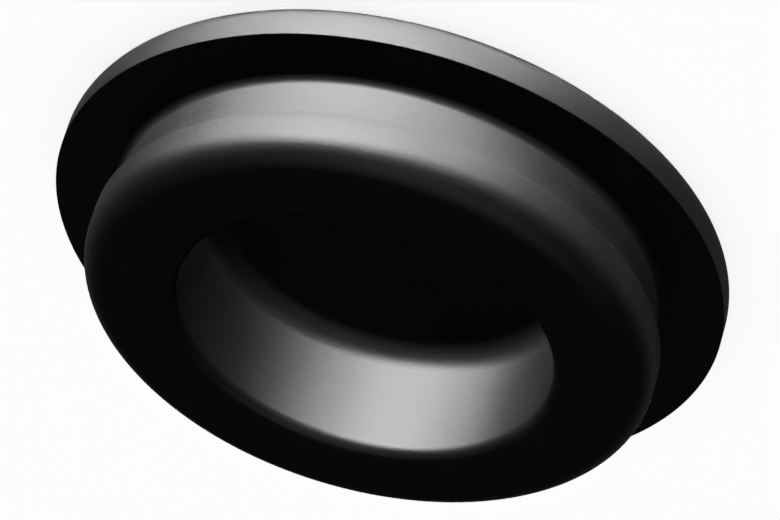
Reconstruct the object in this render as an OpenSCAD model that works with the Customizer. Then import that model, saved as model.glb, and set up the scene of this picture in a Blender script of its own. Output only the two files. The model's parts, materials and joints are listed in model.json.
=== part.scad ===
// Blind rubber grommet, which closes a round hole in a sheet panel.
// It is one moulding. A wide flange covers the hole from outside, a groove holds the
// panel's edge, and a smaller lip snaps through the hole. From the lip's side a round
// recess runs in as far as a thin membrane, which is level with the flange.
// Sizes are in millimetres. The flange's flat outer face lies on z = 0 with its centre
// at the origin, and +Z runs from the flange to the lip.

/* [Flange] */
// How far the flange stands out past the neck
flange_reach = 2.4; // [1:0.1:10]
// Thickness of the flange
flange_t = 1.5; // [1.2:0.1:4]
// Radius that rounds the rim into the outer face
flange_edge_r = 0.7; // [0.1:0.05:1]

/* [Groove] */
// Diameter of the neck, a light squeeze over the 20 mm hole that it fills
neck_d = 20.2; // [16.8:0.1:60]
// Width of the groove, which is the panel's thickness
panel_t = 2; // [0.8:0.1:8]
// Radius of the fillet between the flange and the neck
neck_fillet_r = 0.3; // [0.05:0.05:0.6]

/* [Lip] */
// How far the lip stands out past the neck
lip_reach = 0.5; // [0.1:0.05:0.95]
// Thickness of the lip
lip_t = 1.8; // [1.4:0.1:6]
// Radius that rounds the lip's wall into its front face
lip_round_r = 1; // [0.1:0.1:1.3]

/* [Recess] */
// Diameter of the recess, which takes a cable or pipe of about this size
recess_d = 14; // [8:0.1:16.8]
// Thickness of the membrane that closes the recess
membrane_t = 0.65; // [0.3:0.05:1.2]
// Radius of the fillet between the recess's wall and the membrane
recess_fillet_r = 0.85; // [0.1:0.05:2]
// Radius that rounds the mouth of the recess
mouth_r = 0.4; // [0.1:0.05:0.6]

/* [Hidden] */

$fn = 144;

// How far a cutting shape runs past what it cuts
slack = 0.5;

neck_r = neck_d / 2;
flange_r = neck_r + flange_reach;
lip_r = neck_r + lip_reach;
recess_r = recess_d / 2;

// Heights from the outer face: the lip's back edge, then its front face
lip_back_z = flange_t + panel_t;
lip_front_z = lip_back_z + lip_t;

// What is cut away from a square corner to leave it round. The corner is at the origin,
// between faces that run back along -X and -Y.
module corner_waste(r) {
    difference() {
        translate([-r, -r]) square(r + slack);
        translate([-r, -r]) circle(r);
    }
}

// What is added in an inside corner to leave it round. The corner is at the origin,
// between faces that run out along +X and +Y.
module corner_fill(r) {
    difference() {
        translate([-slack, -slack]) square(r + slack);
        translate([r, r]) circle(r);
    }
}

// Flange, neck and lip as half sections: x is the distance from the axis, y is the height.
module flange_section() {
    difference() {
        square([flange_r, flange_t]);
        translate([flange_r, 0]) mirror([0, 1]) corner_waste(flange_edge_r);
    }
}

module neck_section() {
    square([neck_r, lip_front_z - lip_round_r]);
    translate([neck_r, flange_t]) corner_fill(neck_fillet_r);
}

module lip_section() {
    difference() {
        translate([0, lip_back_z]) square([lip_r, lip_t]);
        translate([lip_r, lip_front_z]) corner_waste(lip_round_r);
    }
}

// The recess's own half section, with its bottom corner rounded and its mouth flared.
module recess_section() {
    difference() {
        translate([0, membrane_t]) square([recess_r, lip_front_z - membrane_t + slack]);
        translate([recess_r, membrane_t]) mirror([0, 1]) corner_waste(recess_fillet_r);
    }
    translate([recess_r, lip_front_z]) mirror([1, 0]) corner_waste(mouth_r);
}

module grommet() {
    color("#2b2b2d")
    rotate_extrude()
    difference() {
        union() {
            flange_section();
            neck_section();
            lip_section();
        }
        recess_section();
    }
}

grommet();
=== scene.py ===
"""Looks of the rubber grommet: a blind panel grommet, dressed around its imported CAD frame.

The grommet is one moulding of black rubber. It rests on the flat outer face of its flange,
with the lip and the open mouth of the recess upwards. Everything is in metres, in the CAD
part's own frame.
"""

import json
import logging
import math
from dataclasses import dataclass, fields
from enum import Enum
from typing import Any

import bpy
from mathutils import Matrix, Vector


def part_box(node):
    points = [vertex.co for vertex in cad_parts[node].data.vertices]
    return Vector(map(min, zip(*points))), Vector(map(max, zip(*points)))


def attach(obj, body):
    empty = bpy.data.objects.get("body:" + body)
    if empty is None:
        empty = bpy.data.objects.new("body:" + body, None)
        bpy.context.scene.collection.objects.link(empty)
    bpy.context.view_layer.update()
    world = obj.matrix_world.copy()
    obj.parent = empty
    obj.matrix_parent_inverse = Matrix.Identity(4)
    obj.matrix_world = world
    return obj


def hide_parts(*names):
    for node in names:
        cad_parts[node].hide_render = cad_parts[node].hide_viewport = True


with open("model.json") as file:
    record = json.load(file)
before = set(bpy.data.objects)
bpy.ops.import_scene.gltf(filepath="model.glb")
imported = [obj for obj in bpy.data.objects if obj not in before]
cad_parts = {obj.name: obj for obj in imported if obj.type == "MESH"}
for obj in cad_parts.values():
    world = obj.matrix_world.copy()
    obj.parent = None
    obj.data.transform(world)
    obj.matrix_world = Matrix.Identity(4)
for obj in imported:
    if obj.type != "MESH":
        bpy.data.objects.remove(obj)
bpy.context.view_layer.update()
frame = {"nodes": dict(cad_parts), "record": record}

MM = 0.001
LOG = logging.getLogger("grommet")


def linear(hex_colour: str) -> tuple[float, float, float, float]:
    """Turn an sRGB hex colour into the linear RGBA that a shader socket takes.

    Args:
        hex_colour: Six hex digits after a hash sign.

    Returns:
        Linear red, green, blue and an alpha of 1.
    """
    digits = hex_colour.lstrip("#")
    channels = [int(digits[i : i + 2], 16) / 255 for i in (0, 2, 4)]
    lin = [c / 12.92 if c <= 0.04045 else ((c + 0.055) / 1.055) ** 2.4 for c in channels]
    return (lin[0], lin[1], lin[2], 1.0)


def add_node(
    tree: bpy.types.NodeTree, kind: str, inputs: dict[Any, Any] | None = None, **settings: Any
) -> bpy.types.Node:
    """Add one node with its settings, values and links.

    Args:
        tree: The node tree that gets the node.
        kind: The node's type name.
        inputs: Socket name or index to a value, or to the output socket that feeds it.
        settings: The node's own properties.

    Returns:
        The new node.
    """
    node = tree.nodes.new(kind)
    for key, value in settings.items():
        setattr(node, key, value)
    for key, value in (inputs or {}).items():
        if isinstance(value, bpy.types.NodeSocket):
            tree.links.new(value, node.inputs[key])
        else:
            node.inputs[key].default_value = value
    return node


def direction(azimuth: float, elevation: float) -> Vector:
    """Give the unit vector from the object towards a place around it.

    Args:
        azimuth: Degrees round from the front (-Y) towards +X.
        elevation: Degrees above the horizon.

    Returns:
        The unit vector.
    """
    a = math.radians(azimuth)
    e = math.radians(elevation)
    return Vector((math.sin(a) * math.cos(e), -math.cos(a) * math.cos(e), math.sin(e)))


@dataclass(frozen=True)
class GrommetSizes:
    """The grommet's section, in metres. Radii are from the axis, heights from the outer face."""

    flange_r: float
    flange_top: float
    neck_r: float
    lip_back: float
    lip_r: float
    lip_front: float
    recess_r: float
    membrane_top: float
    flange_edge: float = 0.7 * MM
    neck_fillet: float = 0.3 * MM
    lip_round: float = 1.0 * MM
    mouth_round: float = 0.4 * MM
    recess_fillet: float = 0.85 * MM
    # Even the sharpest edge of a moulding is a little round.
    edge_break: float = 0.03 * MM

    @classmethod
    def from_frame(cls) -> "GrommetSizes":
        """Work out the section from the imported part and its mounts.

        Returns:
            The sizes.
        """
        low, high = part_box("grommet")
        mounts = {m["name"]: m for m in frame["record"]["mounts"]}
        groove = mounts["panel_groove"]
        groove_mid = groove["pos_m"][2]
        groove_half = groove["dims"]["length_mm"] * MM / 2
        lip_back = groove_mid + groove_half
        recess_r = mounts["cable_recess"]["dims"]["r_mm"] * MM
        points = [v.co for v in frame["nodes"]["grommet"].data.vertices]
        # Heights and radii of points in the CAD mesh are true to better than this.
        near = 0.01 * MM
        in_lip = [p for p in points if p.z > lip_back + near]
        in_recess = [p for p in points if p.z > near and math.hypot(p.x, p.y) < recess_r - near]
        return cls(
            flange_r=(high.x - low.x) / 2,
            flange_top=groove_mid - groove_half,
            neck_r=groove["dims"]["r_mm"] * MM,
            lip_back=lip_back,
            lip_r=max(math.hypot(p.x, p.y) for p in in_lip),
            lip_front=high.z,
            recess_r=recess_r,
            membrane_top=min(p.z for p in in_recess),
        )


class Corner(Enum):
    """A corner of the section: its radius, its height, its rounding and the steps round it.

    The first three name sizes in GrommetSizes. "axis", "floor" and "none" name no size and
    stand for 0.
    """

    OUTER_CENTRE = ("axis", "floor", "none", 1)
    FLANGE_RIM = ("flange_r", "floor", "flange_edge", 16)
    FLANGE_TOP = ("flange_r", "flange_top", "edge_break", 4)
    NECK_ROOT = ("neck_r", "flange_top", "neck_fillet", 8)
    NECK_TOP = ("neck_r", "lip_back", "edge_break", 3)
    LIP_BACK = ("lip_r", "lip_back", "edge_break", 4)
    LIP_FRONT = ("lip_r", "lip_front", "lip_round", 20)
    MOUTH = ("recess_r", "lip_front", "mouth_round", 10)
    RECESS_FLOOR = ("recess_r", "membrane_top", "recess_fillet", 16)
    MEMBRANE_CENTRE = ("axis", "membrane_top", "none", 1)

    def __init__(self, radius: str, height: str, rounding: str, steps: int) -> None:
        """Keep the names of the corner's sizes, and its steps.

        Args:
            radius: The name of its distance from the axis.
            height: The name of its height over the outer face.
            rounding: The name of the radius that rounds it.
            steps: How many points the rounding gets.
        """
        self.radius = radius
        self.height = height
        self.rounding = rounding
        self.steps = steps

    @classmethod
    def nooks(cls) -> "tuple[Corner, ...]":
        """Give the inside corners."""
        return (cls.NECK_ROOT, cls.NECK_TOP, cls.RECESS_FLOOR)

    @classmethod
    def edges(cls) -> "tuple[Corner, ...]":
        """Give the outside corners."""
        return (cls.FLANGE_RIM, cls.FLANGE_TOP, cls.LIP_BACK, cls.LIP_FRONT, cls.MOUTH)

    def place(self, sizes: GrommetSizes) -> tuple[float, float, float]:
        """Give the corner's place in the section, as radius, 0 and height in metres."""
        return (getattr(sizes, self.radius, 0.0), 0.0, getattr(sizes, self.height, 0.0))


@dataclass(frozen=True)
class Pattern:
    """A random pattern on a surface: the size of one feature, its finer octaves, its relief."""

    size_mm: float
    octaves: float
    height_mm: float = 0.0
    octave_strength: float = 0.55

    def build(
        self, tree: bpy.types.NodeTree, where: dict[str, bpy.types.NodeSocket], **settings: Any
    ) -> bpy.types.NodeSocket:
        """Make the pattern in a material.

        Args:
            tree: The material's node tree.
            where: The pattern's coordinate, by the name of the noise's input.
            settings: The noise node's own properties.

        Returns:
            The socket that holds the pattern, from 0 to 1.
        """
        values = {
            **where,
            "Scale": 1 / (self.size_mm * MM),
            "Detail": self.octaves,
            "Roughness": self.octave_strength,
        }
        return add_node(tree, "ShaderNodeTexNoise", values, **settings).outputs["Fac"]


@dataclass(frozen=True)
class MouldedRubber:
    """Carbon-black filled EPDM, compression moulded in a turned and fine-blasted steel tool.

    The eye sees a near-black body with a broad, soft, slightly waxy sheen, because the wax
    in the rubber blooms to its surface. Close up it has the tool's fine grain, a slight
    orange peel and faint turning rings. The bloom is greyer in the nooks, where nothing
    rubs it off, and handling has polished the rounded edges a little.
    """

    sizes: GrommetSizes
    name: str = "moulded_epdm_rubber"
    body_hex: str = "#1a1a1b"
    bloom_hex: str = "#303031"
    # EPDM's own index is about 1.48 and its wax's about 1.45. Both are raised, and the
    # specular level is twice the usual, so that the sheen is as strong as the real one's.
    ior: float = 1.52
    specular_level: float = 1.0
    roughness_polished: float = 0.37
    roughness_plain: float = 0.41
    roughness_bloomed: float = 0.50
    wax_weight: float = 1.0
    wax_roughness: float = 0.40
    wax_ior: float = 1.58
    nook_reach_mm: float = 1.1
    edge_reach_mm: float = 0.9
    # Where the bloom's pattern starts to show, where it is full, and how strong it is there.
    patch_start: float = 0.35
    patch_full: float = 0.7
    patch_strength: float = 0.45
    bloom: Pattern = Pattern(3.0, 4.0)
    handling: Pattern = Pattern(1.2, 3.0)
    peel: Pattern = Pattern(0.7, 1.0, 0.014)
    # Blasted grain is about 0.03 mm and a finishing cut's rings are about 0.1 mm apart. Both
    # are too fine to show, so they are drawn coarser.
    grain: Pattern = Pattern(0.16, 2.0, 0.015)
    rings: Pattern = Pattern(0.25, 2.0, 0.01)

    def nearness(
        self,
        tree: bpy.types.NodeTree,
        section: bpy.types.NodeSocket,
        corners: tuple[Corner, ...],
        reach_mm: float,
    ) -> bpy.types.NodeSocket:
        """Give 1 on the nearest of some corners of the section, falling to 0 a reach away.

        Args:
            tree: The material's node tree.
            section: The point's place in the section, as radius, 0 and height.
            corners: The corners to look for.
            reach_mm: How far from a corner the answer falls to 0.

        Returns:
            The socket that holds the answer.
        """
        gaps = [
            add_node(
                tree,
                "ShaderNodeVectorMath",
                {0: section, 1: corner.place(self.sizes)},
                operation="DISTANCE",
            ).outputs["Value"]
            for corner in corners
        ]
        nearest = gaps[0]
        for gap in gaps[1:]:
            nearest = add_node(
                tree, "ShaderNodeMath", {0: nearest, 1: gap}, operation="MINIMUM"
            ).outputs["Value"]
        return add_node(
            tree,
            "ShaderNodeMapRange",
            {"Value": nearest, "From Max": reach_mm * MM, "To Min": 1.0, "To Max": 0.0},
            interpolation_type="SMOOTHSTEP",
        ).outputs["Result"]

    def relief(
        self,
        tree: bpy.types.NodeTree,
        place: bpy.types.NodeSocket,
        along: bpy.types.NodeSocket,
    ) -> bpy.types.NodeSocket:
        """Give the normal that the tool's grain, orange peel and turning rings leave.

        Args:
            tree: The material's node tree.
            place: The point in the grommet's frame.
            along: The distance along the section, so that rings run round faces and walls alike.

        Returns:
            The normal.
        """
        layers = (
            (self.grain, self.grain.build(tree, {"Vector": place})),
            (self.peel, self.peel.build(tree, {"Vector": place})),
            (self.rings, self.rings.build(tree, {"W": along}, noise_dimensions="1D")),
        )
        height: bpy.types.NodeSocket | float = 0.0
        for pattern, layer in layers:
            height = add_node(
                tree,
                "ShaderNodeMath",
                {0: layer, 1: pattern.height_mm * MM, 2: height},
                operation="MULTIPLY_ADD",
            ).outputs["Value"]
        return add_node(tree, "ShaderNodeBump", {"Height": height, "Distance": 1.0}).outputs["Normal"]

    def bloom_amount(
        self,
        tree: bpy.types.NodeTree,
        place: bpy.types.NodeSocket,
        nook: bpy.types.NodeSocket,
        rubbed: bpy.types.NodeSocket,
    ) -> bpy.types.NodeSocket:
        """Give how much wax has bloomed: faint patches everywhere, and more in the nooks.

        Args:
            tree: The material's node tree.
            place: The point in the grommet's frame.
            nook: How near the point is to an inside corner.
            rubbed: The pattern that handling leaves.

        Returns:
            The socket that holds the amount, from 0 to 1.
        """
        patches = add_node(
            tree,
            "ShaderNodeMapRange",
            {
                "Value": self.bloom.build(tree, {"Vector": place}),
                "From Min": self.patch_start,
                "From Max": self.patch_full,
            },
            interpolation_type="SMOOTHSTEP",
        ).outputs["Result"]
        kept = add_node(
            tree, "ShaderNodeMath", {0: nook, 1: rubbed}, operation="MULTIPLY"
        ).outputs["Value"]
        return add_node(
            tree,
            "ShaderNodeMath",
            {0: patches, 1: self.patch_strength, 2: kept},
            operation="MULTIPLY_ADD",
            use_clamp=True,
        ).outputs["Value"]

    def build(self) -> bpy.types.Material:
        """Make the material.

        Returns:
            The node material.
        """
        mat = bpy.data.materials.new(self.name)
        mat.use_nodes = True
        tree = mat.node_tree
        tree.nodes.clear()
        place = add_node(tree, "ShaderNodeTexCoord").outputs["Object"]
        flat = add_node(
            tree, "ShaderNodeVectorMath", {0: place, 1: (1.0, 1.0, 0.0)}, operation="MULTIPLY"
        ).outputs["Vector"]
        radius = add_node(tree, "ShaderNodeVectorMath", {0: flat}, operation="LENGTH").outputs["Value"]
        height = add_node(tree, "ShaderNodeSeparateXYZ", {"Vector": place}).outputs["Z"]
        section = add_node(tree, "ShaderNodeCombineXYZ", {"X": radius, "Z": height}).outputs["Vector"]
        along = add_node(
            tree, "ShaderNodeMath", {0: radius, 1: height}, operation="ADD"
        ).outputs["Value"]
        nook = self.nearness(tree, section, Corner.nooks(), self.nook_reach_mm)
        edge = self.nearness(tree, section, Corner.edges(), self.edge_reach_mm)
        rubbed = self.handling.build(tree, {"Vector": place})
        bloomed = self.bloom_amount(tree, place, nook, rubbed)
        colour = add_node(
            tree,
            "ShaderNodeMix",
            {0: bloomed, 6: linear(self.body_hex), 7: linear(self.bloom_hex)},
            data_type="RGBA",
        ).outputs[2]
        dulled = add_node(
            tree,
            "ShaderNodeMapRange",
            {"Value": bloomed, "To Min": self.roughness_plain, "To Max": self.roughness_bloomed},
        ).outputs["Result"]
        polish = add_node(
            tree, "ShaderNodeMath", {0: edge, 1: rubbed}, operation="MULTIPLY"
        ).outputs["Value"]
        roughness = add_node(
            tree,
            "ShaderNodeMix",
            {0: polish, 2: dulled, 3: self.roughness_polished},
            data_type="FLOAT",
        ).outputs[0]
        shader = add_node(
            tree,
            "ShaderNodeBsdfPrincipled",
            {
                "Base Color": colour,
                "Roughness": roughness,
                "IOR": self.ior,
                "Specular IOR Level": self.specular_level,
                "Coat Weight": self.wax_weight,
                "Coat Roughness": self.wax_roughness,
                "Coat IOR": self.wax_ior,
                "Normal": self.relief(tree, place, along),
            },
        )
        add_node(tree, "ShaderNodeOutputMaterial", {"Surface": shader.outputs["BSDF"]})
        return mat


@dataclass
class Grommet:
    """The whole grommet: one lathe-true moulding of rubber."""

    sizes: GrommetSizes
    finish: MouldedRubber
    turns: int = 288
    # Points closer than this are one point, which closes the seam and the two centres.
    weld: float = 0.0001 * MM

    def declare(self, tree: bpy.types.NodeTree) -> dict[str, str]:
        """Args:
            tree: The lathe's node tree.

        Returns:
            Each input's name with its socket identifier.
        """
        face = tree.interface
        face.new_socket("Geometry", in_out="INPUT", socket_type="NodeSocketGeometry")
        face.new_socket("Geometry", in_out="OUTPUT", socket_type="NodeSocketGeometry")
        ids: dict[str, str] = {}
        for size in fields(self.sizes):
            socket = face.new_socket(size.name, in_out="INPUT", socket_type="NodeSocketFloat")
            socket.subtype = "DISTANCE"
            ids[size.name] = socket.identifier
        ids["turns"] = face.new_socket(
            "turns", in_out="INPUT", socket_type="NodeSocketInt"
        ).identifier
        ids["material"] = face.new_socket(
            "material", in_out="INPUT", socket_type="NodeSocketMaterial"
        ).identifier
        return ids

    def rounded_section(
        self,
        tree: bpy.types.NodeTree,
        given: bpy.types.NodeOutputs,
        index: bpy.types.NodeSocket,
    ) -> bpy.types.NodeSocket:
        """Lay the section's corners out as a curve and round each of them.

        Args:
            tree: The lathe's node tree.
            given: The tree's inputs.
            index: The number of the point.

        Returns:
            The socket that holds the curve.
        """
        corners = list(Corner)
        place = add_node(tree, "GeometryNodeIndexSwitch", data_type="VECTOR")
        rounding = add_node(tree, "GeometryNodeIndexSwitch", data_type="FLOAT")
        steps = add_node(tree, "GeometryNodeIndexSwitch", data_type="INT")
        for switch in (place, rounding, steps):
            while len(switch.index_switch_items) < len(corners):
                switch.index_switch_items.new()
            tree.links.new(index, switch.inputs[0])
        names = {size.name for size in fields(self.sizes)}
        # A switch's first input is the number of the point, so the corners start at its second.
        for number, corner in enumerate(corners, start=1):
            point = add_node(tree, "ShaderNodeCombineXYZ")
            if corner.radius in names:
                tree.links.new(given[corner.radius], point.inputs["X"])
            if corner.height in names:
                tree.links.new(given[corner.height], point.inputs["Z"])
            tree.links.new(point.outputs["Vector"], place.inputs[number])
            if corner.rounding in names:
                tree.links.new(given[corner.rounding], rounding.inputs[number])
            steps.inputs[number].default_value = corner.steps
        line = add_node(tree, "GeometryNodeMeshLine", {"Count": len(corners)})
        curve = add_node(tree, "GeometryNodeMeshToCurve", {"Mesh": line.outputs["Mesh"]})
        section = add_node(
            tree,
            "GeometryNodeSetPosition",
            {"Geometry": curve.outputs["Curve"], "Position": place.outputs["Output"]},
        )
        return add_node(
            tree,
            "GeometryNodeFilletCurve",
            {
                "Curve": section.outputs["Geometry"],
                "Count": steps.outputs["Output"],
                "Radius": rounding.outputs["Output"],
                "Limit Radius": True,
            },
            mode="POLY",
        ).outputs["Curve"]

    def turned_skin(
        self,
        tree: bpy.types.NodeTree,
        turns: bpy.types.NodeSocket,
        index: bpy.types.NodeSocket,
        section: bpy.types.NodeSocket,
    ) -> bpy.types.NodeSocket:
        """Turn the section round the axis: each row of a grid is one of the section's points.

        Args:
            tree: The lathe's node tree.
            turns: How many steps go round the axis.
            index: The number of the point.
            section: The curve to turn.

        Returns:
            The socket that holds the closed skin.
        """
        size = add_node(
            tree, "GeometryNodeAttributeDomainSize", {"Geometry": section}, component="CURVE"
        ).outputs["Point Count"]
        columns = add_node(
            tree, "ShaderNodeMath", {0: turns, 1: 1.0}, operation="ADD"
        ).outputs["Value"]
        grid = add_node(tree, "GeometryNodeMeshGrid", {"Vertices X": size, "Vertices Y": columns})
        row = add_node(
            tree, "FunctionNodeIntegerMath", {0: index, 1: columns}, operation="DIVIDE_FLOOR"
        ).outputs["Value"]
        step = add_node(
            tree, "FunctionNodeIntegerMath", {0: index, 1: columns}, operation="MODULO"
        ).outputs["Value"]
        share = add_node(
            tree, "ShaderNodeMath", {0: step, 1: turns}, operation="DIVIDE"
        ).outputs["Value"]
        # Turned clockwise, so that the faces point outwards.
        angle = add_node(
            tree, "ShaderNodeMath", {0: share, 1: -math.tau}, operation="MULTIPLY"
        ).outputs["Value"]
        position = add_node(tree, "GeometryNodeInputPosition").outputs["Position"]
        sample = add_node(
            tree,
            "GeometryNodeSampleIndex",
            {"Geometry": section, "Value": position, "Index": row},
            data_type="FLOAT_VECTOR",
            domain="POINT",
        )
        turned = add_node(
            tree,
            "ShaderNodeVectorRotate",
            {"Vector": sample.outputs["Value"], "Angle": angle},
            rotation_type="Z_AXIS",
        )
        surface = add_node(
            tree,
            "GeometryNodeSetPosition",
            {"Geometry": grid.outputs["Mesh"], "Position": turned.outputs["Vector"]},
        )
        return add_node(
            tree,
            "GeometryNodeMergeByDistance",
            {"Geometry": surface.outputs["Geometry"], "Distance": self.weld},
        ).outputs["Geometry"]

    def lathe_tree(self) -> tuple[bpy.types.NodeTree, dict[str, str]]:
        """Build the node tree that turns the rounded section round the axis.

        Returns:
            The tree, and each input's name with its socket identifier.
        """
        tree = bpy.data.node_groups.new("grommet_lathe", "GeometryNodeTree")
        ids = self.declare(tree)
        given = add_node(tree, "NodeGroupInput").outputs
        index = add_node(tree, "GeometryNodeInputIndex").outputs["Index"]
        section = self.rounded_section(tree, given, index)
        closed = self.turned_skin(tree, given["turns"], index, section)
        smooth = add_node(tree, "GeometryNodeSetShadeSmooth", {"Geometry": closed})
        real = add_node(tree, "GeometryNodeRealizeInstances", {"Geometry": smooth.outputs["Geometry"]})
        dressed = add_node(
            tree,
            "GeometryNodeSetMaterial",
            {"Geometry": real.outputs["Geometry"], "Material": given["material"]},
        )
        add_node(tree, "NodeGroupOutput", {"Geometry": dressed.outputs["Geometry"]})
        return tree, ids

    def build(self) -> bpy.types.Object:
        """Turn the section into a plain mesh piece that stands for the CAD node.

        Returns:
            The piece.
        """
        tree, ids = self.lathe_tree()
        blank = bpy.data.objects.new("grommet_blank", bpy.data.meshes.new("grommet_blank"))
        bpy.context.scene.collection.objects.link(blank)
        lathe = blank.modifiers.new("lathe", "NODES")
        lathe.node_group = tree
        for size in fields(self.sizes):
            lathe[ids[size.name]] = getattr(self.sizes, size.name)
        lathe[ids["turns"]] = self.turns
        lathe[ids["material"]] = self.finish.build()
        flat = blank.modifiers.new("flat_faces_stay_flat", "WEIGHTED_NORMAL")
        flat.keep_sharp = False
        depsgraph = bpy.context.evaluated_depsgraph_get()
        depsgraph.update()
        mesh = bpy.data.meshes.new_from_object(
            blank.evaluated_get(depsgraph), preserve_all_data_layers=True, depsgraph=depsgraph
        )
        bpy.data.objects.remove(blank)
        mesh.name = "grommet_moulding"
        # The grid node leaves an empty slot in front of the rubber.
        mesh.materials.pop(index=0)
        piece = bpy.data.objects.new("grommet_moulding", mesh)
        bpy.context.scene.collection.objects.link(piece)
        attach(piece, "root")
        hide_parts("grommet")
        return piece


class Ray(Enum):
    """The kinds of ray that see the room and the table at levels of their own."""

    CAMERA = "Is Camera Ray"
    GLOSSY = "Is Glossy Ray"
    TRANSMISSION = "Is Transmission Ray"


class Shadow(Enum):
    """What stands in a lamp's way."""

    NOTHING = "nothing"
    GROMMET = "the grommet, but not the table"
    EVERYTHING = "the grommet and the table"


@dataclass(frozen=True)
class Lamp:
    """A soft lamp around the object. The level is 1 where white renders as plain white."""

    name: str
    azimuth: float
    elevation: float
    level: float
    softness: float
    shadow: Shadow
    stand_off: float = 0.3

    def build(self, grommet: bpy.types.Object) -> bpy.types.Object:
        """Make the lamp.

        Args:
            grommet: The piece that throws the shadow.

        Returns:
            The lamp.
        """
        data = bpy.data.lights.new(self.name, "SUN")
        data.energy = math.pi * self.level
        data.angle = math.radians(self.softness)
        data.use_shadow = self.shadow is not Shadow.NOTHING
        # The table stops scattered rays before they find a lamp below it, so a lamp without
        # a shadow isn't looked for with them.
        data.cycles.use_multiple_importance_sampling = data.use_shadow
        # Light that passes through the table lights the grommet once and isn't passed on.
        if self.shadow is not Shadow.EVERYTHING:
            data.cycles.max_bounces = 0
        lamp = bpy.data.objects.new(self.name, data)
        if self.shadow is Shadow.GROMMET:
            blockers = bpy.data.collections.new(f"{self.name}_blockers")
            blockers.objects.link(grommet)
            lamp.light_linking.blocker_collection = blockers
        away = direction(self.azimuth, self.elevation)
        lamp.rotation_mode = "QUATERNION"
        lamp.rotation_quaternion = away.to_track_quat("Z", "Y")
        lamp.location = away * self.stand_off
        bpy.context.scene.collection.objects.link(lamp)
        return lamp


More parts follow.
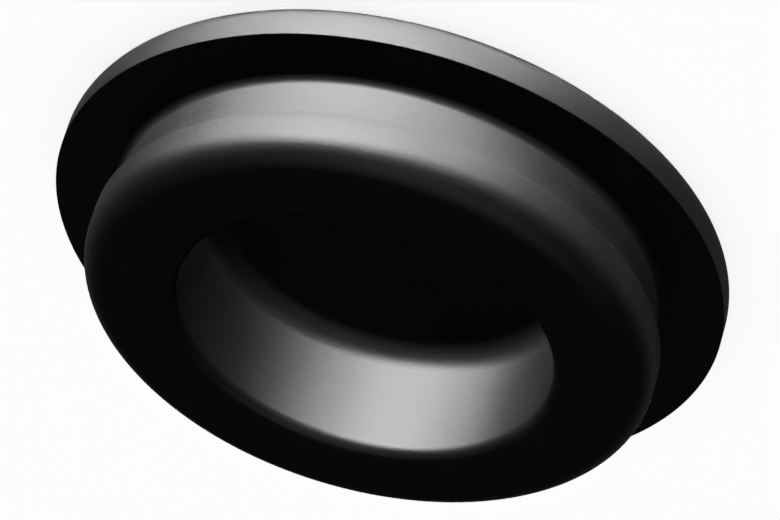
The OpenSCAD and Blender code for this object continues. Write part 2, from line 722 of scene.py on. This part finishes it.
@dataclass
class Studio:
    """A pale table in a dim room, with soft light."""

    floor_hex: str = "#f0f0ee"
    room_hex: str = "#ffffff"
    # The camera sees the room and the table white. The rubber's gloss shows them dimly, so
    # that its flat faces stay near black.
    seen_level: float = 1.0
    room_level: float = 0.008
    floor_glow: float = 0.95
    floor_mirrored: float = 0.01
    shade_reach_mm: float = 3.0
    shade_depth: float = 0.1
    floor_half: float = 3.0
    # The table lies just clear of the outer face that rests on it.
    floor_gap_mm: float = 0.02
    # The side lamps and the back lamps stand below the table and shine through it, so that
    # they light the walls and not the flat faces. The lamp overhead is the only one that
    # throws a shadow on the table.
    lamps: tuple[Lamp, ...] = (
        Lamp("side_key", 31.0, -22.0, 0.43, 50.0, Shadow.NOTHING),
        Lamp("side_wide_key", 31.0, -38.0, 1.07, 90.0, Shadow.NOTHING),
        Lamp("side_wash", 31.0, -46.0, 0.27, 120.0, Shadow.NOTHING),
        Lamp("back_key", 180.0, -30.0, 0.4, 20.0, Shadow.GROMMET),
        Lamp("back_haze", 180.0, -50.0, 0.1, 20.0, Shadow.NOTHING),
        Lamp("overhead_fill", -20.0, 80.0, 0.02, 60.0, Shadow.EVERYTHING),
    )

    def seen_by(self, tree: bpy.types.NodeTree, rays: tuple[Ray, ...]) -> bpy.types.NodeSocket:
        """Give 1 for the named kinds of ray and 0 for every other.

        Args:
            tree: The node tree that asks.
            rays: The kinds of ray.

        Returns:
            The socket that holds the answer.
        """
        path = add_node(tree, "ShaderNodeLightPath")
        answer = path.outputs[rays[0].value]
        for ray in rays[1:]:
            answer = add_node(
                tree, "ShaderNodeMath", {0: answer, 1: path.outputs[ray.value]}, operation="MAXIMUM"
            ).outputs["Value"]
        return answer

    def build_world(self) -> None:
        """Make the room: white behind the table to the camera, dim to the object."""
        world = bpy.data.worlds.new("dim_room")
        bpy.context.scene.world = world
        world.use_nodes = True
        tree = world.node_tree
        tree.nodes.clear()
        seen = self.seen_by(tree, (Ray.CAMERA, Ray.TRANSMISSION))
        strength = add_node(
            tree,
            "ShaderNodeMapRange",
            {"Value": seen, "To Min": self.room_level, "To Max": self.seen_level},
        )
        back = add_node(
            tree,
            "ShaderNodeBackground",
            {"Color": linear(self.room_hex), "Strength": strength.outputs["Result"]},
        )
        add_node(tree, "ShaderNodeOutputWorld", {"Surface": back.outputs["Background"]})

    def table_material(self) -> bpy.types.Material:
        """Make the pale matt table top, which glows to the camera.

        Returns:
            The node material.
        """
        mat = bpy.data.materials.new("pale_table")
        mat.use_nodes = True
        tree = mat.node_tree
        tree.nodes.clear()
        seen = self.seen_by(tree, (Ray.CAMERA, Ray.TRANSMISSION))
        mirrored = self.seen_by(tree, (Ray.GLOSSY,))
        # The glow dims beside the grommet: a painted contact shadow, so that the table keeps a shadow
        # there.
        open_sky = add_node(
            tree, "ShaderNodeAmbientOcclusion", {"Distance": self.shade_reach_mm * MM}
        ).outputs["AO"]
        shaded_glow = self.floor_glow * (1 - self.shade_depth)
        glow = add_node(
            tree,
            "ShaderNodeMapRange",
            {"Value": open_sky, "To Min": shaded_glow, "To Max": self.floor_glow},
        ).outputs["Result"]
        direct = add_node(tree, "ShaderNodeMath", {0: seen, 1: glow}, operation="MULTIPLY")
        level = add_node(
            tree,
            "ShaderNodeMath",
            {0: mirrored, 1: self.floor_mirrored, 2: direct.outputs["Value"]},
            operation="MULTIPLY_ADD",
        )
        matt = add_node(tree, "ShaderNodeBsdfDiffuse", {"Color": linear(self.floor_hex)})
        shine = add_node(tree, "ShaderNodeEmission", {"Strength": level.outputs["Value"]})
        both = add_node(
            tree, "ShaderNodeAddShader", {0: matt.outputs["BSDF"], 1: shine.outputs["Emission"]}
        )
        add_node(tree, "ShaderNodeOutputMaterial", {"Surface": both.outputs["Shader"]})
        return mat

    def build_floor(self) -> bpy.types.Object:
        """Make the pale table top under the grommet.

        Returns:
            The table top.
        """
        half = self.floor_half
        under = -self.floor_gap_mm * MM
        outline = ((-half, -half), (half, -half), (half, half), (-half, half))
        corners = [(x, y, under) for x, y in outline]
        mesh = bpy.data.meshes.new("table_top")
        mesh.from_pydata(corners, [], [(0, 1, 2, 3)])
        mesh.materials.append(self.table_material())
        floor = bpy.data.objects.new("table_top", mesh)
        bpy.context.scene.collection.objects.link(floor)
        return floor

    def build(self, grommet: bpy.types.Object) -> None:
        """Make the room, the table and the lamps.

        Args:
            grommet: The piece that the lamps light.
        """
        self.build_world()
        self.build_floor()
        for lamp in self.lamps:
            lamp.build(grommet)


@dataclass(frozen=True)
class Viewpoint:
    """Where the camera stands. It looks down on the grommet and is rolled over."""

    elevation: float = 34.88
    roll: float = 197.06
    lens_mm: float = 284.3
    sensor_mm: float = 36.0
    distance: float = 0.2237
    clip_near: float = 0.01
    clip_far: float = 20.0
    aim: tuple[float, float, float] = (-0.134 * MM, 0.0, 1.621 * MM)

    def build(self) -> bpy.types.Object:
        """Make the scene's camera.

        Returns:
            The camera.
        """
        data = bpy.data.cameras.new("camera")
        data.sensor_width = self.sensor_mm
        data.lens = self.lens_mm
        data.clip_start = self.clip_near
        data.clip_end = self.clip_far
        camera = bpy.data.objects.new("camera", data)
        bpy.context.scene.collection.objects.link(camera)
        back = direction(0.0, self.elevation)
        upright = direction(180.0, 90.0 - self.elevation)
        side = Vector((1.0, 0.0, 0.0))
        turn = math.radians(self.roll)
        right = math.cos(turn) * side + math.sin(turn) * upright
        up = -math.sin(turn) * side + math.cos(turn) * upright
        basis = Matrix((right, up, back)).transposed()
        camera.rotation_mode = "QUATERNION"
        camera.rotation_quaternion = basis.to_quaternion()
        camera.location = Vector(self.aim) + back * self.distance
        bpy.context.scene.camera = camera
        return camera


def main() -> None:
    """Build the grommet, the studio and the camera, and report each piece."""
    logging.basicConfig(level=logging.INFO, format="%(name)s: %(message)s")
    bpy.context.scene.view_settings.view_transform = "Standard"
    sizes = GrommetSizes.from_frame()
    piece = Grommet(sizes, MouldedRubber(sizes)).build()
    LOG.info("%s has %d faces", piece.name, len(piece.data.polygons))
    Studio().build(piece)
    Viewpoint().build()
    bpy.context.view_layer.update()


if __name__ == "__main__":
    main()
